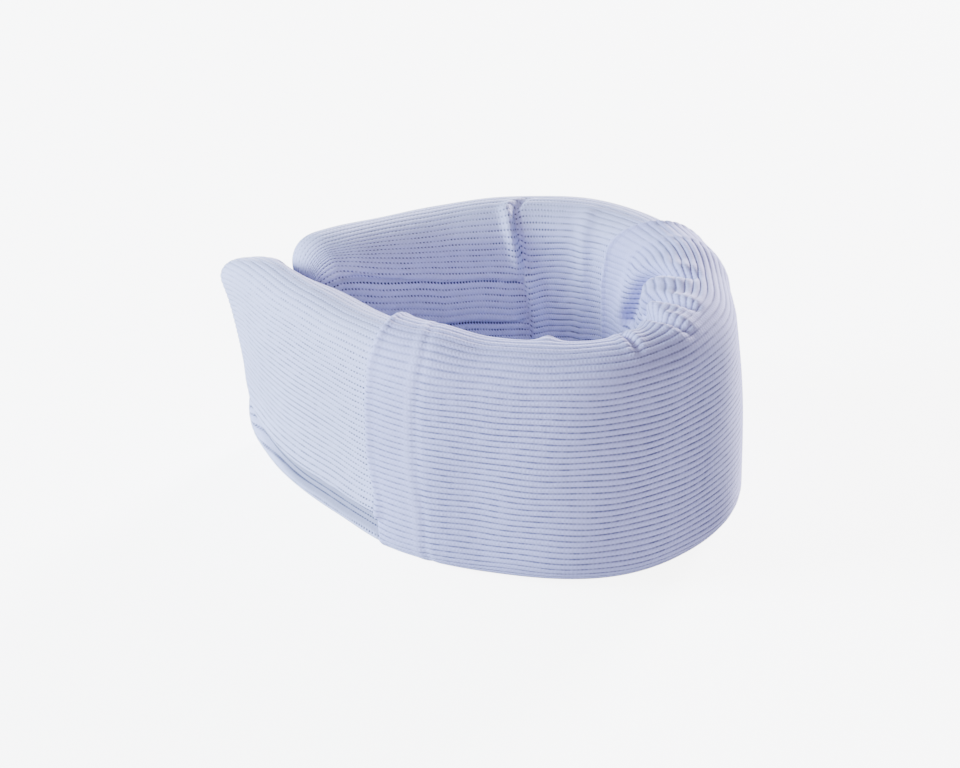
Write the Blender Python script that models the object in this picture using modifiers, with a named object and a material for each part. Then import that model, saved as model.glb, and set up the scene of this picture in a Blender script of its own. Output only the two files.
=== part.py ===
"""Soft cervical collar: a padded strip in a ribbed knit cover, curled into a loop and standing on edge.

The strip is a foam core in a tubular knit cover.  A second knit sleeve is drawn over its middle.
The near end of the strip is the closing flap, with hook tape on its inner face.  The far end is
tucked inside it, with loop tape on its outer face.  The foam bends where it likes, so it is cut
into five sections that turn on upright hinges: flap, near arm, front, back and tucked end.

Every piece is laid out on the strip: "along" is the distance from the flap's end, "across" is the
distance outward from the centre line, and "z" is the height above the table.
Frame: metres, +Z up, origin on the table under the middle of the collar, +X along its length.
"""

from math import cos, pi, radians, sin, sqrt, tan

import bmesh
import bpy
import numpy as np

MM = 0.001

# Plan of the strip's centre line at the table, as control points of a cubic B-spline, in mm.
# The third value is how far the top edge leans outward there.
PLAN = (
    (-82.0, 48.0, 18.0),
    (-78.0, 28.0, 9.0),
    (-66.0, 1.0, 4.0),
    (-43.0, -22.0, 4.0),
    (-27.5, -43.0, 0.0),
    (7.0, -55.0, -1.0),
    (53.0, -62.0, -4.0),
    (87.0, -31.0, -8.0),
    (91.5, -5.0, -8.5),
    (78.0, 38.0, -1.0),
    (33.0, 65.0, 3.5),
    (-17.0, 46.5, 8.0),
    (-67.5, 12.0, 12.0),
)
CENTRE = (2.0, 0.0)       # middle of the collar's box in the plan

# Cross-section, in mm
HEIGHT = 97.0
FLAT_WIDTH = 5.0          # level part of the top and bottom edges
WALL = 0.8                # one layer of ribbed knit
GAP = 0.3                 # between touching pieces
SLEEVE_HALF = 13.7        # half thickness over the sleeve
COVER_HALF = SLEEVE_HALF - WALL - GAP
FOAM_HALF = COVER_HALF - WALL - GAP
SIDE_HEIGHTS = (30.0, 48.5, 67.0)
NEAR_LEAN = 2.0           # how far the top stands out at each of these hinges
FLAP_LEAN = 5.5
KINK_LEAN = 5.0

# Places along the strip, in mm from the flap's end
FLAP_END = 3.0
FLAP_HINGE = 46.0
NEAR_HINGE = 98.0         # also the near edge of the sleeve
HEM_NEAR_END = 114.0
BEND_HINGE = 245.0
HEM_FAR_START = 291.0
HEM_FAR_END = 305.0
KINK_HINGE = 361.0
TUCKED_END = 441.5
STEP = 10.0               # between the rings that a piece is lofted through

# Ends of the strip, in mm
END_ROUND = 12.0          # rounding of an end, seen from above
END_RINGS = (0.5, 2.0, 4.5, 8.0)
FLAP_CORNER = 30.0        # radius of the flap's upper corner
TUCKED_CORNER = 14.0
LOW_CORNER = 10.0

# How the strip is bent out of square
SKEW_SLOPE = -1.1         # the sleeve's far edge runs back by this much per mm outward
SKEW_START = 250.0
SKEW_FULL = 298.0
SKEW_HOLD = 12.0
SKEW_STOP = 350.0
KINK_ANGLE = radians(15.0)  # wedge left open for the tucked end, which turns through 12 degrees
KINK_FADE = 30.0
TIP_SLANT = 9.0          # the tucked end's top reaches this much further than its foot
TIP_SLANT_START = 380.0

# Hook and loop tape, stitching and end seams, in mm
TAPE_THICKNESS = 1.2
HOOK_TAPE = (18.0, 43.0)
LOOP_TAPE = (385.0, 425.0)
STITCH_INSET = 3.0
THREAD_RADIUS = 0.35
STITCH_GROOVE = 2.4       # between a hem and the rest of the sleeve
SEAM_GAP = 0.8            # the closed end is not quite flat
SEAM_LIP = 1.2
SEAM_THICKNESS = 1.6
SEAM_HEIGHTS = (14.0, 30.0, 48.5)

CORNER_FACETS = 4
COLLECTION = "cervical_collar"


def spline_table(samples=1400):
    """The clamped cubic B-spline through PLAN, and the distance along it, as arrays."""
    control = np.array(PLAN)
    inner = len(control) - 3
    knots = np.concatenate([np.zeros(3), np.linspace(0.0, 1.0, inner + 1), np.ones(3)])
    places = np.linspace(0.0, 1.0 - 1e-9, samples)
    line = np.empty((samples, 3))
    for row, place in enumerate(places):
        span = int(np.searchsorted(knots, place, side="right")) - 1
        points = control[span - 3:span + 1].copy()
        for level in (1, 2, 3):
            for index in range(3, level - 1, -1):
                low = knots[index + span - 3]
                high = knots[index + 1 + span - level]
                share = (place - low) / (high - low)
                points[index] = (1.0 - share) * points[index - 1] + share * points[index]
        line[row] = points[3]
    steps = np.linalg.norm(np.diff(line[:, :2], axis=0), axis=1)
    return line, np.concatenate([[0.0], np.cumsum(steps)])


LINE, ALONG = spline_table()
TANGENT = np.gradient(LINE[:, :2], ALONG, axis=0)


def smooth(low, high, value):
    """0 before low, 1 after high, and a smooth step between them."""
    share = min(max((value - low) / (high - low), 0.0), 1.0)
    return share * share * (3.0 - 2.0 * share)


def grain(along, across, z, kinked):
    """Where a place really lies along the strip, with the strip's skew, kink and slant."""
    skew = smooth(SKEW_START, SKEW_FULL, along) * (1.0 - smooth(SKEW_FULL + SKEW_HOLD, SKEW_STOP, along))
    place = along + SKEW_SLOPE * skew * across
    if kinked:
        notch = 1.0 - smooth(KINK_HINGE, KINK_HINGE + KINK_FADE, along)
        place += tan(KINK_ANGLE) * notch * (COVER_HALF + KINK_LEAN - across)
        place += TIP_SLANT * smooth(TIP_SLANT_START, TUCKED_END, along) * (z / HEIGHT) ** 2
    return place


def strip_point(along, across, z, kinked=False):
    """World position, in metres, of a place on the strip."""
    place = grain(along, across, z, kinked)
    beyond = place - min(max(place, ALONG[0]), ALONG[-1])
    x, y, lean = (np.interp(place, ALONG, LINE[:, axis]) for axis in range(3))
    tx, ty = (np.interp(place, ALONG, TANGENT[:, axis]) for axis in range(2))
    length = sqrt(tx * tx + ty * ty)
    tx, ty = tx / length, ty / length
    out = across + lean * (z / HEIGHT) ** 2
    x += ty * out + tx * beyond - CENTRE[0]
    y += ty * beyond - tx * out - CENTRE[1]
    return (x * MM, y * MM, z * MM)


def ring_profile(half, low, high):
    """(across, z) round a section with rounded edges, starting at the foot and going outward."""
    radius = half - FLAT_WIDTH / 2.0
    profile = []
    corners = (
        (half - radius, low + radius, -pi / 2.0),
        (half - radius, high - radius, 0.0),
        (radius - half, high - radius, pi / 2.0),
        (radius - half, low + radius, pi),
    )
    for index, (across, z, start) in enumerate(corners):
        for facet in range(CORNER_FACETS + 1):
            angle = start + pi / 2.0 * facet / CORNER_FACETS
            profile.append((across + radius * cos(angle), z + radius * sin(angle)))
        if index == 0:
            profile += [(half, z) for z in SIDE_HEIGHTS]
        if index == 2:
            profile += [(-half, z) for z in reversed(SIDE_HEIGHTS)]
    return profile


def stations(start, end):
    """Places of the rings from start to end, at whole steps between them."""
    first = int(start / STEP) + 1
    last = int(end / STEP) + 1
    inner = [step * STEP for step in range(first, last) if start + 2.0 < step * STEP < end - 2.0]
    return [start] + inner + [end]


def corner_drop(distance, radius):
    """How much lower a rounded corner is, this far from the end."""
    if distance >= radius:
        return 0.0
    return radius - sqrt(radius * radius - (radius - distance) ** 2)


def strip_rings(start, end, half, flap_end=False, tucked_end=False):
    """Rings of a length of the strip, at this half thickness; an end of the strip is rounded off."""
    inset = SLEEVE_HALF - half
    corner = FLAP_CORNER if flap_end else TUCKED_CORNER
    places = stations(start, end)
    if flap_end:
        start = FLAP_END + inset
        places = [start + step for step in END_RINGS] + [place for place in places if place > start + END_ROUND]
    if tucked_end:
        end = TUCKED_END - inset
        places = [place for place in places if place < end - END_ROUND] + [end - step for step in reversed(END_RINGS)]
    rings = []
    for place in places:
        width = half
        low = inset
        high = HEIGHT - inset
        if flap_end or tucked_end:
            distance = place - start if flap_end else end - place
            if distance < END_ROUND:
                width = half * sqrt(1.0 - (1.0 - distance / END_ROUND) ** 2)
            low += corner_drop(distance, LOW_CORNER)
            high -= corner_drop(distance, corner)
        profile = ring_profile(width, low, high)
        rings.append([strip_point(place, *point, kinked=start >= KINK_HINGE) for point in profile])
    return rings


def material(name, colour, roughness):
    """A plain finish for one kind of piece."""
    made = bpy.data.materials.new(name)
    made.use_nodes = True
    shader = made.node_tree.nodes["Principled BSDF"]
    shader.inputs["Base Color"].default_value = (*colour, 1.0)
    shader.inputs["Roughness"].default_value = roughness
    shader.inputs["Metallic"].default_value = 0.0
    return made


def add_mesh(name, verts, faces, finish):
    """A mesh object in the collar's collection, with its faces pointing out."""
    mesh = bpy.data.meshes.new(name)
    work = bmesh.new()
    made = [work.verts.new(vert) for vert in verts]
    for face in faces:
        work.faces.new([made[index] for index in face])
    bmesh.ops.recalc_face_normals(work, faces=work.faces)
    work.to_mesh(mesh)
    work.free()
    mesh.materials.append(finish)
    mesh.shade_smooth()
    mesh.set_sharp_from_angle(angle=radians(35.0))
    item = bpy.data.objects.new(name, mesh)
    bpy.data.collections[COLLECTION].objects.link(item)
    return item


def loft(name, rings, finish, start_cap=False, end_cap=False):
    """A closed surface through a row of rings, capped where asked."""
    count = len(rings[0])
    verts = [vert for ring in rings for vert in ring]
    faces = []
    for row in range(len(rings) - 1):
        for column in range(count):
            after = (column + 1) % count
            faces.append((row * count + column, row * count + after,
                          (row + 1) * count + after, (row + 1) * count + column))
    if start_cap:
        faces.append(tuple(range(count - 1, -1, -1)))
    if end_cap:
        faces.append(tuple(range((len(rings) - 1) * count, len(rings) * count)))
    return add_mesh(name, verts, faces, finish)


def thicken(item):
    """Give an open knit surface its wall, inward."""
    shell = item.modifiers.new("wall", "SOLIDIFY")
    shell.thickness = WALL * MM
    shell.offset = -1.0
    shell.use_even_offset = True
    return item


def thread_loop(name, points, finish):
    """A closed loop of sewing thread through points, as one closed mesh."""
    curve = bpy.data.curves.new(name, "CURVE")
    curve.dimensions = "3D"
    curve.bevel_depth = THREAD_RADIUS * MM
    curve.bevel_resolution = 1
    line = curve.splines.new("POLY")
    line.points.add(len(points) - 1)
    for target, point in zip(line.points, points):
        target.co = (*point, 1.0)
    line.use_cyclic_u = True
    guide = bpy.data.objects.new(name, curve)
    bpy.data.collections[COLLECTION].objects.link(guide)
    mesh = bpy.data.meshes.new_from_object(guide.evaluated_get(bpy.context.evaluated_depsgraph_get()))
    bpy.data.objects.remove(guide)
    mesh.materials.clear()
    mesh.materials.append(finish)
    mesh.shade_smooth()
    item = bpy.data.objects.new(name, mesh)
    bpy.data.collections[COLLECTION].objects.link(item)
    return item


def foam(name, start, end, finish, **ends):
    """One section of the foam core."""
    rings = strip_rings(start + GAP / 2.0, end - GAP / 2.0, FOAM_HALF, **ends)
    return loft(name, rings, finish, start_cap=True, end_cap=True)


def cover(name, start, end, finish, **ends):
    """One section of the tubular cover; an end of the strip closes it like a cup."""
    rings = strip_rings(start + GAP / 2.0, end - GAP / 2.0, COVER_HALF, **ends)
    item = loft(name, rings, finish, start_cap="flap_end" in ends, end_cap="tucked_end" in ends)
    return thicken(item)


def sleeve(name, start, end, finish):
    """One length of the outer sleeve, or of its hem."""
    return thicken(loft(name, strip_rings(start, end, SLEEVE_HALF), finish))


def hem_stitching(name, along, finish):
    """The thread that holds a hem, once round the sleeve in its groove."""
    half = SLEEVE_HALF - THREAD_RADIUS - GAP / 3.0
    inset = SLEEVE_HALF - half
    points = [strip_point(along, *point) for point in ring_profile(half, inset, HEIGHT - inset)]
    return thread_loop(name, points, finish)


def tape(name, span, side, finish, kinked=False):
    """A rectangle of hook or loop tape, on the inner (-1) or outer (1) face of the cover."""
    near = side * (COVER_HALF + GAP)
    far = side * (COVER_HALF + GAP + TAPE_THICKNESS)
    section = [(near, z) for z in SIDE_HEIGHTS] + [(far, z) for z in reversed(SIDE_HEIGHTS)]
    rings = [[strip_point(place, *point, kinked=kinked) for point in section] for place in stations(*span)]
    return loft(name, rings, finish, start_cap=True, end_cap=True)


def tape_stitching(name, span, side, finish, kinked=False):
    """The thread round a tape, just inside its edge."""
    across = side * (COVER_HALF + 2.0 * GAP + TAPE_THICKNESS + THREAD_RADIUS)
    places = stations(span[0] + STITCH_INSET, span[1] - STITCH_INSET)
    low = SIDE_HEIGHTS[0] + STITCH_INSET
    middle = SIDE_HEIGHTS[1]
    high = SIDE_HEIGHTS[-1] - STITCH_INSET
    path = [(place, low) for place in places] + [(places[-1], middle)]
    path += [(place, high) for place in reversed(places)] + [(places[0], middle)]
    points = [strip_point(place, across, z, kinked=kinked) for place, z in path]
    return thread_loop(name, points, finish)


def end_seam(name, end, direction, finish, kinked=False):
    """The sewn lip that closes the cover; direction is -1 at the flap and 1 at the tucked end."""
    inset = SLEEVE_HALF - COVER_HALF
    root = end - direction * (inset + END_RINGS[0] - SEAM_GAP)
    tip = root + direction * SEAM_LIP
    half = SEAM_THICKNESS / 2.0
    section = [(half, z) for z in SEAM_HEIGHTS] + [(-half, z) for z in reversed(SEAM_HEIGHTS)]
    rings = [[strip_point(place, *point, kinked=kinked) for point in section] for place in (root, tip)]
    return loft(name, rings, finish, start_cap=True, end_cap=True)


def hang(pieces, empty):
    """Let pieces, modelled where they lie, turn with a hinge."""
    bpy.context.view_layer.update()
    for piece in pieces:
        piece.parent = empty
        piece.matrix_parent_inverse = empty.matrix_world.inverted()


def hinge(name, along, across, parent=None):
    """An empty on an upright hinge of the strip."""
    made = bpy.data.objects.new(name, None)
    bpy.data.collections[COLLECTION].objects.link(made)
    made.location = strip_point(along, across, 0.0)
    if parent:
        hang([made], parent)
    return made


def build():
    """The whole collar."""
    for item in list(bpy.data.objects):
        bpy.data.objects.remove(item)
    bpy.context.scene.collection.children.link(bpy.data.collections.new(COLLECTION))

    core = material("white_foam", (0.85, 0.84, 0.78), 0.95)
    knit = material("ribbed_knit", (0.60, 0.64, 0.80), 0.90)
    thread = material("sewing_thread", (0.68, 0.71, 0.84), 0.70)
    hooks = material("hook_tape", (0.78, 0.79, 0.84), 0.60)
    loops = material("loop_tape", (0.80, 0.81, 0.86), 0.95)

    foam("foam_front", NEAR_HINGE, BEND_HINGE, core)
    cover("cover_front", NEAR_HINGE, BEND_HINGE, knit)
    sleeve("hem_near", NEAR_HINGE + GAP, HEM_NEAR_END - STITCH_GROOVE / 2.0, knit)
    hem_stitching("hem_stitching_near", HEM_NEAR_END, thread)
    sleeve("sleeve_front", HEM_NEAR_END + STITCH_GROOVE / 2.0, BEND_HINGE - GAP / 2.0, knit)

    near = hinge("near_arm_hinge", NEAR_HINGE, COVER_HALF + NEAR_LEAN)
    hang((
        foam("foam_near_arm", FLAP_HINGE, NEAR_HINGE, core),
        cover("cover_near_arm", FLAP_HINGE, NEAR_HINGE, knit),
    ), near)

    flap = hinge("flap_hinge", FLAP_HINGE, COVER_HALF + FLAP_LEAN, near)
    hang((
        foam("foam_flap", FLAP_END, FLAP_HINGE, core, flap_end=True),
        cover("cover_flap", FLAP_END, FLAP_HINGE, knit, flap_end=True),
        end_seam("end_seam_flap", FLAP_END, -1.0, thread),
        tape("hook_tape", HOOK_TAPE, -1.0, hooks),
        tape_stitching("hook_tape_stitching", HOOK_TAPE, -1.0, thread),
    ), flap)

    bend = hinge("bend_hinge", BEND_HINGE, SLEEVE_HALF)
    hang((
        foam("foam_back", BEND_HINGE, KINK_HINGE, core),
        cover("cover_back", BEND_HINGE, KINK_HINGE, knit),
        sleeve("sleeve_back", BEND_HINGE + GAP / 2.0, HEM_FAR_START - STITCH_GROOVE / 2.0, knit),
        hem_stitching("hem_stitching_far", HEM_FAR_START, thread),
        sleeve("hem_far", HEM_FAR_START + STITCH_GROOVE / 2.0, HEM_FAR_END, knit),
    ), bend)

    kink = hinge("kink_hinge", KINK_HINGE, COVER_HALF + KINK_LEAN, bend)
    hang((
        foam("foam_tucked_end", KINK_HINGE, TUCKED_END, core, tucked_end=True),
        cover("cover_tucked_end", KINK_HINGE, TUCKED_END, knit, tucked_end=True),
        end_seam("end_seam_tucked", TUCKED_END, 1.0, thread, kinked=True),
        tape("loop_tape", LOOP_TAPE, 1.0, loops, kinked=True),
        tape_stitching("loop_tape_stitching", LOOP_TAPE, 1.0, thread, kinked=True),
    ), kink)


build()
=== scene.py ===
"""The looks of the soft cervical collar: ribbed knit over foam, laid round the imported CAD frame.

The collar is one padded strip curled into a loop.  A place on it is its distance along the strip
from the flap's end ("along"), and its share of the way round the section ("girth"), which starts
at the middle of the foot and goes up the outer face, over the top and down the inner face.
Sizes on the strip are in mm; meshes, lights and the camera are in metres.
"""

from math import cos, pi, radians, sin, tau

import bpy
import numpy as np
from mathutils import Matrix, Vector


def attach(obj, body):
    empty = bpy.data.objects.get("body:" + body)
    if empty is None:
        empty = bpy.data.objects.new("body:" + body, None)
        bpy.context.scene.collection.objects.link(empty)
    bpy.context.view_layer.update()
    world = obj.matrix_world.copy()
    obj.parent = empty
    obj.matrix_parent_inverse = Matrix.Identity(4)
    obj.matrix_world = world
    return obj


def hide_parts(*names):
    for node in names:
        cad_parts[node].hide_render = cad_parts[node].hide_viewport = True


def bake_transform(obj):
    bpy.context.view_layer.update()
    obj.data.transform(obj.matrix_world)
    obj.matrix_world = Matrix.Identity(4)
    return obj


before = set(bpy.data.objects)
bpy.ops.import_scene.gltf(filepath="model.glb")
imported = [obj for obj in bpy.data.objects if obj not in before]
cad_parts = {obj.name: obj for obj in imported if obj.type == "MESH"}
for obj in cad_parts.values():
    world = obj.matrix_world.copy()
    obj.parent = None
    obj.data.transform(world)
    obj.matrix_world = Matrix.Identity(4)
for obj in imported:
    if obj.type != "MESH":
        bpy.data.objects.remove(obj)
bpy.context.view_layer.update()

MM = 0.001

# Plan of the strip's centre line at the table, as in the CAD model: control points of a cubic
# B-spline in mm, each with the distance that the top edge leans outward there.
PLAN = (
    (-82.0, 48.0, 18.0),
    (-78.0, 28.0, 9.0),
    (-66.0, 1.0, 4.0),
    (-43.0, -22.0, 4.0),
    (-27.5, -43.0, 0.0),
    (7.0, -55.0, -1.0),
    (53.0, -62.0, -4.0),
    (87.0, -31.0, -8.0),
    (91.5, -5.0, -8.5),
    (78.0, 38.0, -1.0),
    (33.0, 65.0, 3.5),
    (-17.0, 46.5, 8.0),
    (-67.5, 12.0, 12.0),
)
CENTRE = (2.0, 0.0)
HEIGHT = 97.0

# Places along the strip
FLAP_END = 3.0
FLAP_HINGE = 46.0
NEAR_JOIN = 72.0          # two lengths of the cover meet here, unseen
NEAR_HINGE = 98.0         # the sleeve's near edge
FRONT_JOIN = 165.0        # hidden by the sleeve, as BACK_JOIN is
BACK_JOIN = 280.0
SLEEVE_END = 305.0
KINK_HINGE = 361.0
TUCKED_END = 446.0
HEM_WIDTH = 15.0

# How far each bend reaches on either side of its hinge
FLAP_REACH = 11.0
NEAR_REACH = (24.0, 1.0)
KINK_REACH = 18.0
BEND_START = (0.0845, -0.0350, 0.0485)
BEND_END = (0.0905, 0.0010, 0.0485)

# Ends of the strip and its skew, as in the CAD model
END_ROUND = 12.0
FLAP_CORNER = 30.0
TUCKED_CORNER = 14.0
LOW_CORNER = 10.0
SEAM_HALF = 0.8           # half thickness of the closed end
SKEW_SLOPE = -1.1
SKEW_PLACES = (250.0, 298.0, 310.0, 350.0)
TIP_SLANT = 9.0
TIP_SLANT_START = 380.0

# Each layer's half thickness at the bottom of its grooves, and its lowest and highest level
COVER = (12.3, 0.7, 95.8)
SLEEVE = (13.1, 0.5, 96.5)
HEM_FOLD = (12.55, 1.0, 96.0)
FOAM = (10.6, 2.4, 94.0)
KNIT_WALL = 0.6
HEM_FOLD_WALL = 0.35
SQUEEZE = 0.6             # how far the sleeve presses the cover in

# Ribbed knit
COVER_RIBS = 85
SLEEVE_RIBS = 87
RIB_PHASES = (0.0, 0.10, 0.22, 0.50, 0.78, 0.90)
GROOVE_WIDTH = 0.13       # share of a rib
OUTER_RIB = 0.24          # height of the cover's ribs on its outer and inner faces, and the sleeve's
INNER_RIB = 0.36
SLEEVE_RIB = 0.44
STITCH = 1.28             # spacing of the stitches along a rib
HIDDEN_STEP = 5.0         # between rings of knit that another layer hides
TIP_RINGS = (0.05, 0.25, 0.6)   # the cover's rings at its ends, from each end

# The sleeve's two edges run a little unevenly: mm from the crown, and mm along the strip.
NEAR_EDGE = ((-101.0, 5.5), (-76.0, 5.0), (-57.0, 2.5), (-35.0, 2.5),
             (-13.0, 4.5), (-3.0, 3.0), (5.0, 1.0), (101.0, 1.0))
FAR_EDGE = ((-101.0, 1.0), (-7.0, 0.5), (0.0, -2.0), (6.0, -2.5),
            (16.0, 1.0), (33.0, 4.0), (58.0, 2.5), (101.0, 1.0))
EDGE_ROUND = 1.2

# The three bands on the tucked end's inner face: the level of the highest one at places along the
# strip, and how far apart they hang.
BAND_PLACES = (361.0, 397.0, 421.0, 435.0)
BAND_LEVELS = (67.7, 72.9, 79.7, 84.3)
BAND_COUNT = 3
BAND_STEP = 18.0

# The line of the cover's kink: mm down from the crown, and the place along the strip there.
KINK_DOWN = (-6.0, -1.5, 2.0, 5.0, 14.0, 32.5, 50.0, 60.5)
KINK_PLACES = (353.0, 359.0, 363.0, 365.2, 365.6, 362.0, 358.8, 358.0)

# The folds that fan out over the tight bend: how deep, how wide, and the way each goes in space,
# from the inner face up to the crown.
FAN_FOLDS = (
    (3.8, 2.6, ((58, 28, 60), (61, 24, 73), (63, 19.5, 80), (65, 10, 88),
                (68, 1, 94.5), (73.5, -2.4, 96.7), (84, -4, 96))),
    (3.4, 1.9, ((61, -10, 82), (64, -15, 90), (68, -22.5, 95.4),
                (73, -25, 97), (77, -27.5, 97), (81, -30, 95.5))),
    (2.8, 1.7, ((59.5, -18, 84), (61, -30, 93), (64.5, -36.7, 96.8),
                (69, -38.4, 97), (73, -40.3, 95.5), (78, -42, 92))),
    (1.6, 1.3, ((50, -43, 95), (52, -48, 96.5), (55, -54, 96), (59, -60, 94))),
)
# The puffed places between them: how high, how wide, and where.
FAN_LOBES = (
    (3.2, 8.0, (64, -6, 91)),
    (2.2, 5.5, (63, -25, 94)),
)

# Foam, thread and hooks
FOAM_COLUMNS = 90
FOAM_GAP = 0.3            # between two lengths of foam
FOAM_INSET = 2.5          # from the foam's ends to the cover's
FOAM_FILL = 0.8
KNIT_FILL = 0.7
HEM_THREAD = 0.13         # radii in mm
TAPE_THREAD = 0.15
END_THREAD = 0.14
HOOK_WIRE = 0.10

# Linear colours of the yarn on the ribs, and of the painted shade in the valleys between them and in the
# stitches' holes
COVER_TONE = (0.65, 0.67, 0.97)
COVER_VALLEY_SHADE = (0.46, 0.47, 0.72)
COVER_HOLE_SHADE = (0.06, 0.06, 0.13)
SLEEVE_TONE = (0.575, 0.58, 0.94)
SLEEVE_VALLEY_SHADE = (0.16, 0.16, 0.32)
SLEEVE_HOLE_SHADE = (0.15, 0.15, 0.30)
THREAD_TONE = (0.62, 0.66, 0.84)


# ---------------------------------------------------------------- the strip's shape

def spline_table(samples=1400):
    """The clamped cubic B-spline through PLAN, and the distance along it, as arrays."""
    control = np.array(PLAN)
    inner = len(control) - 3
    knots = np.concatenate([np.zeros(3), np.linspace(0.0, 1.0, inner + 1), np.ones(3)])
    places = np.linspace(0.0, 1.0 - 1e-9, samples)
    line = np.empty((samples, 3))
    for row, place in enumerate(places):
        span = int(np.searchsorted(knots, place, side="right")) - 1
        points = control[span - 3:span + 1].copy()
        for level in (1, 2, 3):
            for index in range(3, level - 1, -1):
                low = knots[index + span - 3]
                high = knots[index + 1 + span - level]
                share = (place - low) / (high - low)
                points[index] = (1.0 - share) * points[index - 1] + share * points[index]
        line[row] = points[3]
    steps = np.linalg.norm(np.diff(line[:, :2], axis=0), axis=1)
    return line, np.concatenate([[0.0], np.cumsum(steps)])


LINE, ALONG = spline_table()
TANGENT = np.gradient(LINE[:, :2], ALONG, axis=0)
TANGENT /= np.linalg.norm(TANGENT, axis=1)[:, None]


def smooth(low, high, value):
    """0 before low, 1 after high, and a smooth step between them."""
    share = np.clip((value - low) / (high - low), 0.0, 1.0)
    return share * share * (3.0 - 2.0 * share)


def bell(value, middle, width):
    """A smooth bump of height 1."""
    return np.exp(-((value - middle) / width) ** 2)


def corner_drop(distance, radius):
    """How much lower a rounded corner is, this far from the end."""
    short = np.clip(radius - distance, 0.0, radius)
    return radius - np.sqrt(radius * radius - short * short)


def band_level(place):
    """Height of the highest fold on the tucked end's inner face; it rises toward the tip."""
    return np.interp(place, BAND_PLACES, BAND_LEVELS)


def section(girth, half, low, high, climb=0.0):
    """Across, z, outward angle and mm from the crown, round a section with a round top and foot.

    climb is how far the middle of the inner face is drawn up toward the crown, in mm.
    """
    side = high - low - 2.0 * half
    quarter = pi / 2.0 * half
    total = 2.0 * side + 4.0 * quarter
    way = girth * total
    inward = way - total / 2.0
    way = way - climb * smooth(0.0, 34.0, inward) * (1.0 - smooth(70.0, 104.0, inward))
    turned = (np.clip(way, 0.0, quarter)
              + np.clip(way - quarter - side, 0.0, 2.0 * quarter)
              + np.clip(way - 3.0 * quarter - 2.0 * side, 0.0, quarter)) / half
    climbed = np.clip(way - quarter, 0.0, side) - np.clip(way - 3.0 * quarter - side, 0.0, side)
    angle = turned - pi / 2.0
    across = half * np.cos(angle)
    z = low + half + half * np.sin(angle) + climbed
    return across, z, angle, way - total / 2.0


# ---------------------------------------------------------------- relief, in mm outward

def crease_level(place):
    """Height of the fold low on the flap's and near arm's outer face; it rises toward the tip."""
    return 20.0 + 12.0 * np.exp(-(place - 8.0) / 13.0)


def lower_crease(place, z, outer):
    """The flap and near arm: the fabric folds over itself low on the outer face.

    The fold is sharp along the arm and rolls out softly where it climbs to the flap's end.
    """
    below = crease_level(place) - z
    soft = 4.0 * (1.0 - smooth(8.0, 34.0, place))
    step = smooth(-0.3 - soft, 0.5 + soft, below)
    fold = 1.3 * bell(below, -1.0, 5.0) * (1.0 - step)
    fold -= 2.3 * step * (1.0 - smooth(8.5, 11.0, below))
    fold += 1.2 * bell(below, 12.5, 2.5)
    return fold * outer * smooth(6.0, 26.0, place) * (1.0 - smooth(101.0, 108.0, place))


def tucked_bands(place, z, inner):
    """The tucked end's inner face: the fabric hangs in three overlapping bands."""
    height = 0.0
    for index in range(BAND_COUNT):
        below = band_level(place) - index * BAND_STEP - z
        past_lip = smooth(-0.4, 0.4, below)
        height = height + 1.7 * np.exp(np.minimum(below, 0.0) / 8.0) * (1.0 - past_lip)
        height = height - 2.5 * np.exp(-np.maximum(below, 0.0) / 6.0) * past_lip
    return height * inner * smooth(359.0, 366.0, place) * (1.0 - smooth(430.0, 440.0, place))


def past_kink(place, crown):
    """Distance past the cover's kink, which runs down from the crown of the far wall."""
    return place - np.interp(crown, KINK_DOWN, KINK_PLACES)


def kink(place, crown):
    """The cover's kink, on the inner face.

    High up the far side rolls over a valley; lower down the near side stands proud of the bands.
    """
    beyond = past_kink(place, crown)
    high = 1.0 - smooth(24.0, 38.0, crown)
    rolled = (1.8 * bell(beyond, 2.2, 2.4) - 3.0 * bell(beyond, -1.6, 1.4)) * smooth(-4.0, 8.0, crown)
    past_edge = smooth(-0.6, 0.6, beyond)
    proud = 2.4 * smooth(-9.0, -1.0, beyond) * (1.0 - past_edge)
    sunk = 1.2 * past_edge * (1.0 - smooth(2.0, 9.0, beyond))
    shape = rolled * high + (proud - sunk) * (1.0 - high)
    return shape * smooth(-8.0, 0.0, crown) * (1.0 - smooth(75.0, 88.0, crown))


def far_ridge(place, inner):
    """A soft ridge down the inner face between the kink and the sleeve."""
    return 0.8 * bell(place, 334.0, 3.5) * inner


def distance_from(points, target):
    """Distance in mm of each point from one place."""
    return np.sqrt(sum((points[axis] - target[axis]) ** 2 for axis in range(3)))


def from_line(points, way):
    """Distance from a line of places, and how much of the line is left past its nearest part."""
    nearest = np.full(points[0].shape, np.inf)
    reached = np.zeros(nearest.shape)
    passed = 0.0
    for start, end in zip(np.array(way, float), np.array(way[1:], float)):
        run = end - start
        length = np.linalg.norm(run)
        share = sum((points[axis] - start[axis]) * run[axis] for axis in range(3)) / length ** 2
        share = np.clip(share, 0.0, 1.0)
        distance = distance_from(points, [start[axis] + share * run[axis] for axis in range(3)])
        closer = distance < nearest
        nearest = np.where(closer, distance, nearest)
        reached = np.where(closer, passed + share * length, reached)
        passed += length
    return nearest, passed - reached


def fan_folds(points):
    """Folds that start at the inner face and fade out on the crown, with puffed lips."""
    height = 0.0
    for depth, width, way in FAN_FOLDS:
        distance, left = from_line(points, way)
        depth = depth * smooth(0.0, 12.0, left)
        height = height + 0.4 * depth * bell(distance, 2.4 * width, 1.3 * width)
        height = height - depth * bell(distance, 0.0, width)
    for puff, width, middle in FAN_LOBES:
        height = height + puff * bell(distance_from(points, middle), 0.0, width)
    return height


def bend_bulge(place, crown):
    """The foam squeezed inward at the tight bend."""
    bulge = 5.0 * bell(place, 252.0, 24.0) * smooth(0.0, 16.0, crown)
    return bulge + 5.0 * bell(place, 245.0, 17.0) * bell(crown, 34.0, 16.0) * smooth(12.0, 26.0, crown)


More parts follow.
